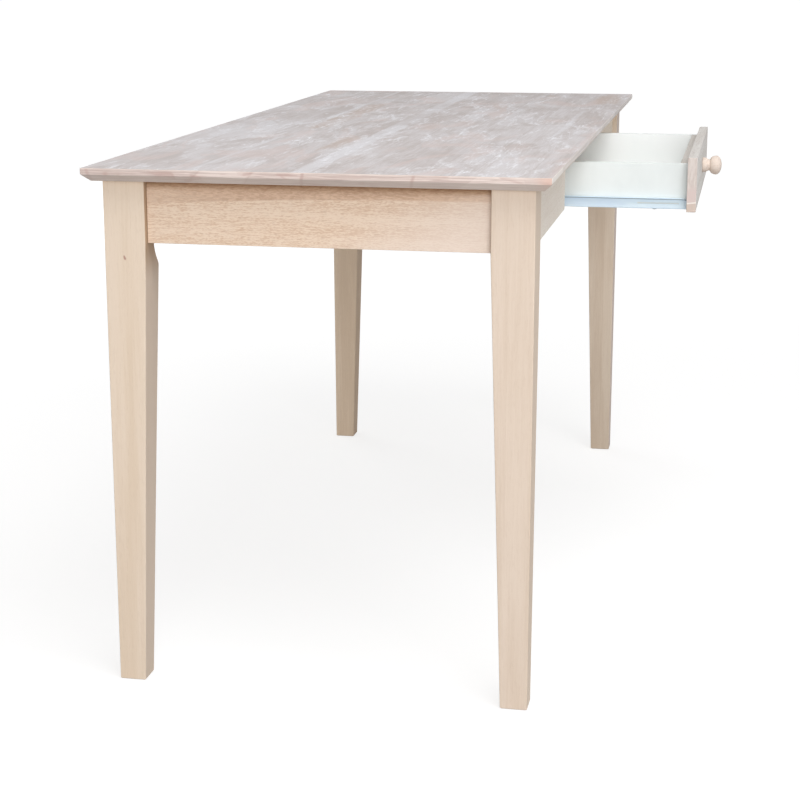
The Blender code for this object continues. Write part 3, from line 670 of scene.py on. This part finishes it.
# Brown heartwood shows in three ragged patches.
ragged = place.scaled(9, 50, 1).noise(3, 0.6, 0.5) - 0.5
torn_length = length + ragged * 0.16
torn_depth = depth + ragged * 0.016
brown = (torn_length.within(0.66, 1.16, 0.02) * torn_depth.within(0.166, 0.203, 0.006)
         + torn_length.within(0.31, 0.50, 0.02) * torn_depth.within(0.266, 0.291, 0.005)
         + torn_length.within(1.25, 1.47, 0.03) * torn_depth.within(0.597, 0.644, 0.007))
colour = (brown * (0.2 + streaks * 0.8)).between(colour, srgb(184, 165, 154))

# The wash lies thick along some rows. Elsewhere it is left in clouds, thin strokes and dabs.
clouds = place.moved(3.1, 0.7, 0).scaled(5, 17, 1).noise(5, 0.66, 0.9)
wisps = place.moved(1.3, 2.9, 0).scaled(5, 36, 1).noise(3, 0.55, 0.5)
strokes = (1 - (wisps - 0.5).size().ramp(0.0, 0.022)) * clouds.ramp(0.44, 0.58)
dabs = place.moved(6.2, 1.1, 0).scaled(26, 130, 1).noise(2, 0.6, 0.4).ramp(0.55, 0.64)
dabs = dabs * clouds.ramp(0.42, 0.62)
thick = (torn_depth.within(0.302, 0.327, 0.004) * (1 - torn_length.within(0.72, 1.20, 0.05) * 0.45)
         + torn_depth.within(0.156, 0.164, 0.003) * (1 - torn_length.within(0.49, 0.79, 0.02)) * 0.7
         + torn_depth.within(0.592, 0.600, 0.003) * torn_length.within(0.58, 1.09, 0.04) * 0.7
         + torn_depth.within(0.015, 0.145, 0.02) * torn_length.within(0.49, 0.80, 0.04) * 0.5
         + torn_depth.within(0.166, 0.196, 0.006) * torn_length.within(1.17, 1.30, 0.03) * 0.6)
wash = (thick * (0.3 + wisps * 1.0) + clouds.ramp(0.50, 0.62) * 0.5).capped()
colour = (wash * 0.72).between(colour, srgb(225, 224, 228))
colour = (strokes * 0.5 + dabs * 0.5).capped().between(colour, srgb(238, 237, 241))
side_joint = (rows.fraction() - 0.5).size().ramp(0.490, 0.498)
butt_joint = (staves.fraction() - 0.5).size().ramp(0.4975, 0.4995)
open_joint = (side_joint + butt_joint) * place.moved(0.4, 5.2, 0).scaled(3, 4, 1).noise(1).ramp(0.45, 0.62)
colour = (open_joint * 0.35).between(colour, srgb(156, 142, 134))
colour = (specks * 0.2).between(colour, srgb(164, 150, 142))

# The ends show the growth of each board, and slanted glue lines between the boards.
nearest = (rows + 0.5).floor()
slant = ((nearest + 31.7).lot() - 0.5) * 4.5
past = (rows - nearest) * ROW_WIDTH + (height - top_high.z + EDGE_BAND) * slant
board = (nearest + past.math("GREATER_THAN", past, 0.0) + 0.5).lot()
growth = place.scaled(60, 16, 640).noise(3, 0.6, 0.6)
stain = place.scaled(1, 24, 90).noise(2, 0.6, 0.5)
end_tone = (board * 0.12 + growth * 0.95).ramp(0.34, 0.74)
end_colour = end_tone.between(srgb(238, 223, 215), srgb(201, 179, 171))
glue_line = (1 - past.size().ramp(0.0004, 0.0040)) * (nearest + 12.9).lot().ramp(0.3, 0.9) * 0.55
end_colour = (glue_line + stain.ramp(0.56, 0.70) * 0.5).capped().between(end_colour, srgb(190, 154, 145))
# Painted highlight: the band is paler just under its top arris.
painted_arris_highlight = height.ramp(top_high.z - 0.0020, top_high.z - 0.0006)
end_colour = (painted_arris_highlight * 0.6).between(end_colour, srgb(236, 222, 214))
end_colour = (depth.ramp(0.626, 0.652) * 0.6).between(end_colour, srgb(228, 189, 173))

# The long edges are bare near one end and thinly washed further on, with a line of painted shade along the
# bevel.
long_tone = (streaks * 0.6 + hairs * 0.4).ramp(0.36, 0.66)
long_colour = long_tone.between(srgb(238, 231, 225), srgb(221, 212, 205))
long_colour = (length.ramp(0.05, 0.50) * 0.55).between(long_colour, colour)
painted_band_shadow = 1 - (height - top_high.z + EDGE_BAND).size().ramp(0.0004, 0.0022)
long_colour = (painted_band_shadow * 0.5).between(long_colour, srgb(188, 160, 132))
edge_colour = faces_along(place, "Y", 0.3, 0.5).between(end_colour, long_colour)
edge_colour = (faces_along(place, "Z", 0.4, 0.7) * 0.6).between(edge_colour, srgb(194, 182, 174))
colour = place.facing("Z").ramp(-0.5, 0.5).between(bare, colour)
colour = faces_along(place, "Z", 0.85, 0.95).between(edge_colour, colour)
colour.into(shader, "Base Color")
(0.5 + hairs * 0.22 + wash * 0.06).into(shader, "Roughness")
(hairs * 0.5 - specks * 0.7 - open_joint * 0.6).relief(shader, GRAIN_STRENGTH, GRAIN_DEPTH)
settle(top, "tabletop", top_wood)


# Four long screws go up through the corner blocks and hold the top down. They are plated steel wood screws
# with a pan head and a cross recess.


def wood_screw(name, length, radius, head_radius, head_height):
    """A screw along Z with its head below the origin, threaded to its point, and a cross in its head."""
    profile = [(-head_height, 0.55 * head_radius), (-0.86 * head_height, 0.80 * head_radius),
               (-0.5 * head_height, 0.96 * head_radius), (-0.1 * head_height, head_radius),
               (0, 0.97 * head_radius), (0, 0.8 * radius)]
    profile += thread(0.1 * length, length - 2.4 * radius, radius, 0.24 * radius, 0.62 * radius)
    profile += [(length - 2 * radius, 0.72 * radius), (length, 0.15 * radius)]
    screw = turned(name, profile, 20)
    depth = Vector((0, 0, 0.62 * head_height))
    for long_x, long_y in ((0.58, 0.1), (0.1, 0.58)):
        reach = Vector((long_x * head_radius, long_y * head_radius, 0))
        crown = Vector((0, 0, -head_height))
        bit = block("driver_bit", crown - reach - depth, crown + reach + depth)
        recess = screw.modifiers.new("recess", "BOOLEAN")
        recess.object = bit
        recess.operation = "DIFFERENCE"
        apply_all(screw)
        bpy.data.objects.remove(bit)
    bpy.ops.object.shade_smooth_by_angle(angle=radians(35))
    return screw


TOP_SCREW_LENGTH = 0.040
TOP_SCREW_RADIUS = 0.0022
SCREW_HEAD_RADIUS = 0.0042
SCREW_HEAD_HEIGHT = 0.0024

long_screw = wood_screw("long_screw", TOP_SCREW_LENGTH, TOP_SCREW_RADIUS, SCREW_HEAD_RADIUS,
                        SCREW_HEAD_HEIGHT)
for corner in CORNERS:
    node = "top_screw_" + corner
    seat = middle(node)
    seat.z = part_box(node)[0].z + SCREW_HEAD_HEIGHT
    settle(set_at(copy_of(long_screw, "long_screw_" + corner), seat, (0, 0, 1)), node, zinc)
bpy.data.objects.remove(long_screw)


# The fixed half of each slide is a steel channel with a white powder coat, screwed to its rail. Its flanges
# are cut away at the front end, where its roller turns.

SLIDE_SHEET = 0.0012
SLIDE_FOLD = 0.0016
SHEET_EDGE = 0.0002
SHADOW_LINE_START = 0.0012
SHADOW_LINE_END = 0.0034
ROLLER_BAY = 0.024
SLIDE_SCREW_LENGTH = 0.0118
SLIDE_SCREW_RADIUS = 0.0017
SLIDE_SCREW_HEAD = 0.0034
SLIDE_SCREW_HEAD_HEIGHT = 0.0012
SIDES = {"left": -1, "right": 1}


def coated_steel(name, top_edge):
    """White powder coat, faintly blue and uneven, with a painted shadow line a little below a top edge."""
    finish, shader, place = new_finish(name)
    peel = place.scaled(520, 520, 520).noise(2, 0.5)
    cloud = place.scaled(30, 18, 60).noise(2, 0.5)
    colour = cloud.ramp(0.3, 0.7).between(srgb(228, 245, 255), srgb(215, 234, 250))
    # Painted shadow: a dark grey-blue line just under the top edge.
    painted_shadow_line = place.part("Z").within(top_edge - SHADOW_LINE_END, top_edge - SHADOW_LINE_START, 0.0005) * 0.85
    painted_shadow_line.between(colour, srgb(138, 152, 164)).into(shader, "Base Color")
    (0.34 + peel * 0.14).into(shader, "Roughness")
    peel.relief(shader, 0.12, 0.0002)
    return finish


def fold_sheet(piece, folds):
    """Rounds the folds of a sheet, gives it the thickness of its steel and breaks its edges."""
    pick(piece, "EDGE", folds)
    bpy.ops.mesh.bevel(offset=SLIDE_FOLD, segments=4, affect="EDGES")
    bpy.ops.object.mode_set(mode="OBJECT")
    steel = piece.modifiers.new("steel", "SOLIDIFY")
    steel.thickness = SLIDE_SHEET
    steel.offset = -1
    apply_all(piece)
    ease(piece, SHEET_EDGE, 2, 60)


def runs_along(edge):
    """Whether an edge lies along the slide."""
    return abs((edge.verts[1].co - edge.verts[0].co).normalized().y) > 0.9


channel_steel = coated_steel("channel_steel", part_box("slide_channel_left")[1].z)
short_screw = wood_screw("short_screw", SLIDE_SCREW_LENGTH, SLIDE_SCREW_RADIUS, SLIDE_SCREW_HEAD,
                         SLIDE_SCREW_HEAD_HEIGHT)
for side, sign in SIDES.items():
    low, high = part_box("slide_channel_" + side)
    channel = block("channel_strip_" + side, low, high)
    bay = low.y + ROLLER_BAY
    bpy.ops.object.mode_set(mode="EDIT")
    pick(channel, "FACE", lambda face: abs(face.normal.y) > 0.9 or face.normal.x * sign < -0.9)
    bpy.ops.mesh.delete(type="FACE")
    slice_at("Y", bay)
    pick(channel, "FACE", lambda face: abs(face.normal.z) > 0.9 and face.calc_center_median().y < bay)
    bpy.ops.mesh.delete(type="FACE")
    fold_sheet(channel, lambda edge: runs_along(edge) and not edge.is_boundary)
    settle(channel, "slide_channel_" + side, channel_steel)
    for end in ("front", "back"):
        node = f"channel_screw_{end}_{side}"
        low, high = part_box(node)
        seat = middle(node)
        seat.x = (high.x if sign < 0 else low.x) + sign * SLIDE_SCREW_HEAD_HEIGHT
        settle(set_at(copy_of(short_screw, f"short_screw_{end}_{side}"), seat, (sign, 0, 0)), node, zinc)


# A nylon roller turns on a riveted pin at the front of each channel and at the back of each runner. The
# rollers are moulded with a recess round the hub. The pins are plated steel and keep their solids' shape.

ROLLER_RADIUS = 0.008
ROLLER_BORE = 0.0026
ROLLER_ROUND = 0.0006
HUB_RADIUS = 0.0040
RIM_RADIUS = 0.0066
DISH_DEPTH = 0.0007
DISH_SLOPE = 0.0004

nylon, shader, place = new_finish("white_nylon")
cloud = place.scaled(300, 300, 300).noise(2)
cloud.ramp(0.3, 0.7).between(srgb(240, 240, 236), srgb(226, 226, 220)).into(shader, "Base Color")
(0.4 + cloud * 0.15).into(shader, "Roughness")

half_profile = [(0, ROLLER_BORE), (0, HUB_RADIUS), (DISH_DEPTH, HUB_RADIUS + DISH_SLOPE),
                (DISH_DEPTH, RIM_RADIUS - DISH_SLOPE), (0, RIM_RADIUS), (0, ROLLER_RADIUS - ROLLER_ROUND),
                (0.3 * ROLLER_ROUND, ROLLER_RADIUS - 0.3 * ROLLER_ROUND), (ROLLER_ROUND, ROLLER_RADIUS)]
for end in ("front", "back"):
    for side in SIDES:
        node = f"roller_{end}_{side}"
        low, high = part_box(node)
        width = high.x - low.x
        profile = half_profile + [(width - level, radius) for level, radius in reversed(half_profile)]
        roller = turned(f"nylon_roller_{end}_{side}", profile, 40, hollow=True)
        axle = middle(node)
        axle.x = low.x
        set_at(roller, axle, (1, 0, 0))
        bpy.ops.object.shade_smooth_by_angle(angle=radians(40))
        settle(roller, node, nylon)
        dress(f"roller_pin_{end}_{side}", zinc)


# The drawer box has sides and a back of white-faced board and a thin white bottom, which slides into
# grooves in the sides and in the wooden box front.

BOX_EDGE = 0.0006
GROOVE_DEPTH = 0.006
SEAT_GAP = 0.0003
GROOVE_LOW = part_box("drawer_bottom")[0].z - SEAT_GAP
GROOVE_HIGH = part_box("drawer_back")[0].z

white_board, shader, place = new_finish("white_faced_board")
mottle = place.scaled(14, 18, 9).noise(3, 0.55, 0.4)
fine = place.scaled(700, 700, 700).noise(1)
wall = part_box("drawer_side_right")[0]
# Painted light and shade: the outer faces are made greyer and the inner faces whiter, for the light on them.
outer = mottle.ramp(0.3, 0.72).between(srgb(232, 237, 236), srgb(225, 230, 229))
blue = 1 - (place.part("Z") - wall.z).ramp(0.0, 0.035)
outer = (blue * 0.5).between(outer, srgb(226, 233, 233))
inner = mottle.ramp(0.3, 0.72).between(srgb(253, 255, 254), srgb(251, 254, 253))
inside = 1 - place.part("X").size().ramp(wall.x + 0.001, wall.x + 0.003)
inside.between(outer, inner).into(shader, "Base Color")
(0.36 + mottle * 0.16).into(shader, "Roughness")
fine.relief(shader, 0.08, 0.0002)


def cut_groove(piece, axis, sign):
    """Cuts the groove for the bottom in the face of a board that looks along an axis."""
    bpy.ops.object.mode_set(mode="EDIT")
    slice_at("Z", GROOVE_LOW)
    slice_at("Z", GROOVE_HIGH)
    number = "XYZ".index(axis)
    pick(piece, "FACE", lambda face: face.normal[number] * sign > 0.9
         and GROOVE_LOW < face.calc_center_median().z < GROOVE_HIGH)
    inwards = [-sign * GROOVE_DEPTH if name == axis else 0 for name in "XYZ"]
    bpy.ops.mesh.extrude_region_move(TRANSFORM_OT_translate={"value": inwards})
    bpy.ops.object.mode_set(mode="OBJECT")


for side, sign in SIDES.items():
    panel = block("box_side_" + side, *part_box("drawer_side_" + side))
    cut_groove(panel, "X", -sign)
    ease(panel, BOX_EDGE)
    settle(panel, "drawer_side_" + side, white_board)
set_board("box_back", "drawer_back", BOX_EDGE, white_board)
set_board("box_bottom", "drawer_bottom", BOX_EDGE, white_board)


# The box front and the drawer front are solid boards of the same wood as the top, with the same thin wash.
# The front is wider and taller, and three screws from inside hold the two together.

FRONT_EDGE = 0.0011
front_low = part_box("drawer_front")[0]


def front_ends(place, colour):
    """The end grain of the front: a light glue line across it, a pinker half below and a pale top edge."""
    across = place.part("Z") - front_low.z
    line = across + (place.part("Y") - front_low.y) * 0.12
    grain = place.scaled(20, 500, 90).noise(2, 0.6)
    ends = grain.ramp(0.3, 0.7).between(srgb(222, 212, 206), srgb(208, 195, 188))
    ends = (1 - line.ramp(0.030, 0.046)).between(ends, srgb(217, 199, 194))
    ends = (1 - line.ramp(0.0135, 0.0145)).between(ends, srgb(212, 195, 184))
    ends = line.within(0.0145, 0.0165, 0.0006).between(ends, srgb(240, 232, 224))
    return faces_along(place, "X").between(colour, ends)


FRONT_TONES = ((226, 223, 219), (210, 204, 198), (166, 154, 146))
FRONT_PORES = 0.4
FRONT_STRIP = 0.028
front_wood = bare_wood("drawer_front_wood", "X", FRONT_TONES, FRONT_PORES, strip=FRONT_STRIP, across="Z",
                       seed=9.3, marks=front_ends)
BOX_TONES = ((216, 211, 205), (200, 193, 186), (160, 147, 138))
box_wood = bare_wood("box_front_wood", "X", BOX_TONES, FRONT_PORES, strip=FRONT_STRIP, across="Z", seed=12.4)
box_front = block("box_front_board", *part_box("drawer_box_front"))
cut_groove(box_front, "Y", 1)
ease(box_front, BOX_EDGE)
settle(box_front, "drawer_box_front", box_wood)
set_board("front_board", "drawer_front", FRONT_EDGE, front_wood)


# The knob is a turned hardwood mushroom with a plain foot, a cove for a neck and a full round head. A screw
# from inside the box holds it against the front.

KNOB_FOOT_RADIUS = 0.0124
KNOB_NECK_RADIUS = 0.0094
KNOB_HEAD_RADIUS = 0.016
KNOB_FOOT = 0.0050
KNOB_NECK = 0.0100
KNOB_HEAD_START = 0.0128
KNOB_WIDEST = 0.0230
KNOB_LENGTH = 0.032
KNOB_EASE = 0.0004
KNOB_TIP_RADIUS = 0.0006
COVE_STEPS = 8
SHOULDER_STEPS = 12
CROWN_STEPS = 16

knob_profile = [(0, KNOB_FOOT_RADIUS - KNOB_EASE), (KNOB_EASE, KNOB_FOOT_RADIUS),
                (KNOB_FOOT, KNOB_FOOT_RADIUS)]
for step in range(1, COVE_STEPS + 1):
    turn = pi / 2 * step / COVE_STEPS
    knob_profile.append((KNOB_FOOT + (KNOB_NECK - KNOB_FOOT) * sin(turn),
                         KNOB_NECK_RADIUS + (KNOB_FOOT_RADIUS - KNOB_NECK_RADIUS) * (1 - sin(turn)) ** 0.9))
throat = KNOB_NECK_RADIUS + KNOB_EASE
for step in range(SHOULDER_STEPS + 1):
    turn = pi / 2 * step / SHOULDER_STEPS
    knob_profile.append((KNOB_WIDEST - (KNOB_WIDEST - KNOB_HEAD_START) * cos(turn),
                         throat + (KNOB_HEAD_RADIUS - throat) * sin(turn)))
for step in range(1, CROWN_STEPS):
    turn = pi / 2 * step / CROWN_STEPS
    knob_profile.append((KNOB_WIDEST + (KNOB_LENGTH - KNOB_WIDEST) * sin(turn), KNOB_HEAD_RADIUS * cos(turn)))
knob_profile.append((KNOB_LENGTH, KNOB_TIP_RADIUS))
knob_foot = middle("knob")
knob_foot.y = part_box("knob")[1].y
knob = set_at(turned("turned_knob", knob_profile, 64), knob_foot, (0, -1, 0))
bpy.ops.object.shade_smooth_by_angle(angle=radians(45))
KNOB_TONES = ((233, 219, 208), (220, 202, 188), (190, 163, 140))
KNOB_PORES = 0.2
knob_wood = bare_wood("knob_wood", "Y", KNOB_TONES, KNOB_PORES, seed=11.0)
settle(knob, "knob", knob_wood)


# Three pan-head screws go through the box front from inside: two into the drawer front, and a longer one
# through both boards into the knob.

INSIDE_SCREW_RADIUS = 0.002

for node, name in (("front_screw_left", "front_fixing_left"), ("front_screw_right", "front_fixing_right"),
                   ("knob_screw", "knob_fixing")):
    low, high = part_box(node)
    seat = middle(node)
    seat.y = high.y - SCREW_HEAD_HEIGHT
    fixing = wood_screw(name, seat.y - low.y, INSIDE_SCREW_RADIUS, SCREW_HEAD_RADIUS, SCREW_HEAD_HEIGHT)
    settle(set_at(fixing, seat, (0, -1, 0)), node, zinc)


# The moving half of each slide is a folded strip of the same coated steel, screwed up under the box side.
# Its flange rides on the front roller, dips at the front end and is cut away at the back, round its roller.
# A long slot is punched in its web near the front.

RUNNER_DIP = 0.0034
RUNNER_DIP_LENGTH = 0.009
CUT_LOW = 0.0078
CUT_HIGH = 0.0102
CUT_START = 0.012
CUT_END = 0.077
FOLD_TURN = 1.2
CLOSE = 1e-6

runner_steel = coated_steel("runner_steel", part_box("slide_runner_left")[1].z)
for side, sign in SIDES.items():
    low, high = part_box("slide_runner_" + side)
    side_low, side_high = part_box("drawer_side_" + side)
    outer = (side_low.x if sign < 0 else side_high.x) + sign * (SEAT_GAP + SLIDE_SHEET)
    flange = (low.x if sign < 0 else high.x) - outer
    foot = high.x if sign < 0 else low.x
    start, bay = low.y, high.y - ROLLER_BAY
    shelf = high.z - SLIDE_SHEET
    runner = block("runner_strip_" + side, Vector((min(outer, foot), low.y, low.z)),
                   Vector((max(outer, foot), high.y, shelf)))
    bpy.ops.object.mode_set(mode="EDIT")
    pick(runner, "FACE", lambda face: abs(face.normal.y) > 0.9 or face.normal.x * sign < -0.9
         or face.normal.z > 0.9)
    bpy.ops.mesh.delete(type="FACE")
    for share in (0.25, 0.5, 0.75, 1.0):
        slice_at("Y", start + share * RUNNER_DIP_LENGTH)
    for level in (start + CUT_START, start + CUT_END, bay):
        slice_at("Y", level)
    pick(runner, "EDGE", lambda edge: runs_along(edge) and edge.is_boundary
         and all(abs(end.co.z - shelf) < CLOSE and end.co.y < bay + CLOSE for end in edge.verts))
    bpy.ops.mesh.extrude_region_move(TRANSFORM_OT_translate={"value": (flange, 0, 0)})
    mesh = bmesh.from_edit_mesh(runner.data)
    for vertex in mesh.verts:
        ahead = 1 - (vertex.co.y - start) / RUNNER_DIP_LENGTH
        if abs(vertex.co.z - shelf) < CLOSE and ahead > 0:
            vertex.co.z -= RUNNER_DIP * ahead * ahead
    bmesh.update_edit_mesh(runner.data)
    for level in (low.z + CUT_LOW, low.z + CUT_HIGH):
        pick(runner, "FACE", lambda face: face.normal.x * sign > 0.9)
        bpy.ops.mesh.bisect(plane_co=(0, 0, level), plane_no=(0, 0, 1))
    pick(runner, "FACE", lambda face: face.normal.x * sign > 0.9
         and low.z + CUT_LOW < face.calc_center_median().z < low.z + CUT_HIGH
         and start + CUT_START < face.calc_center_median().y < start + CUT_END)
    bpy.ops.mesh.delete(type="FACE")
    fold_sheet(runner, lambda edge: runs_along(edge) and len(edge.link_faces) == 2
               and edge.calc_face_angle() > FOLD_TURN)
    settle(runner, "slide_runner_" + side, runner_steel)
    node = "runner_screw_" + side
    seat = middle(node)
    seat.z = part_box(node)[0].z + SLIDE_SCREW_HEAD_HEIGHT
    settle(set_at(copy_of(short_screw, "short_screw_runner_" + side), seat, (0, 0, 1)), node, zinc)
bpy.data.objects.remove(short_screw)


# The desk stands on a plain white floor that runs out of sight, in soft light from four large lamps: one low
# at its near end, one overhead, and two that fill in its front and its far and back sides.

FLOOR_SIZE = 160
FLOOR_LEVEL = -0.0006
FLOOR_GLOW = 0.74
FAR_GLOW = 0.14
ROOM_LIGHT = 0.37


def seen_share(tree):
    """1 where the stage itself is seen, straight on or in a shiny piece, and 0 where it only gives light."""
    rays = tree.nodes.new("ShaderNodeLightPath").outputs
    seen = Shade(rays["Is Camera Ray"])
    for ray in ("Is Glossy Ray", "Is Transmission Ray"):
        seen = seen.math("MAXIMUM", seen, Shade(rays[ray]))
    return seen


bpy.ops.object.select_all(action="DESELECT")
bpy.ops.mesh.primitive_plane_add(size=FLOOR_SIZE, location=(0, 0, FLOOR_LEVEL))
floor = bpy.context.object
floor.name = "studio_floor"
floor_paint = bpy.data.materials.new("studio_floor_paint")
floor_paint.use_nodes = True
floor_tree = floor_paint.node_tree
floor_tree.nodes.clear()
floor_end = floor_tree.nodes.new("ShaderNodeOutputMaterial")
seen = seen_share(floor_tree)
away = Shade(floor_tree.nodes.new("ShaderNodeTexCoord").outputs["Object"]).reach()
dull = seen.node("BsdfDiffuse", {"Color": seen.between(srgb(190, 190, 190), srgb(162, 162, 162))})
glow = seen.node("Emission", {"Strength": seen * (FLOOR_GLOW + away.ramp(0.8, 5) * FAR_GLOW)})
seen.node("AddShader", {0: dull, 1: glow}).into(floor_end, "Surface")
floor.data.materials.append(floor_paint)

world = bpy.data.worlds.new("studio")
world.use_nodes = True
bpy.context.scene.world = world
backdrop = world.node_tree.nodes["Background"]
backdrop.inputs["Color"].default_value = (1, 1, 1, 1)
(ROOM_LIGHT + seen_share(world.node_tree) * (1 - ROOM_LIGHT)).into(backdrop, "Strength")

LAMP_AIM = Vector((0, 0.1, 0.5))


def lamp(name, place, size, power):
    """A large soft lamp aimed at the desk."""
    bpy.ops.object.light_add(type="AREA", location=place)
    light = bpy.context.object
    light.name = name
    light.data.shape = "RECTANGLE"
    light.data.size, light.data.size_y = size
    light.data.energy = power
    light.rotation_euler = (LAMP_AIM - Vector(place)).to_track_quat("-Z", "Y").to_euler()


lamp("end_lamp", (-4.55, -1.6, 1.3), (3.5, 2.2), 89)
lamp("ceiling_lamp", (-1.7, -1.0, 3.6), (2.1, 2.1), 64)
lamp("front_lamp", (-1.4, -5.0, 2.2), (3.0, 3.0), 26)
lamp("back_lamp", (3.8, 3.8, 1.6), (3.0, 2.6), 62)

camera_place = Vector((-3.1386, -0.4830, 1.0448))
yaw, pitch, roll = 0.20571, -0.23430, -0.00247
ahead = Vector((cos(pitch) * cos(yaw), cos(pitch) * sin(yaw), sin(pitch)))
level_right = Vector((sin(yaw), -cos(yaw), 0))
level_up = level_right.cross(ahead)
right = cos(roll) * level_right + sin(roll) * level_up
up = cos(roll) * level_up - sin(roll) * level_right
bpy.ops.object.camera_add()
camera = bpy.context.object
camera.matrix_world = Matrix.Translation(camera_place) @ Matrix((right, up, -ahead)).transposed().to_4x4()
camera.data.lens = 81.634
camera.data.sensor_width = 36
camera.data.shift_x = 0.03125
camera.data.shift_y = -0.0125
bpy.context.scene.camera = camera
bpy.context.scene.view_settings.view_transform = "Standard"
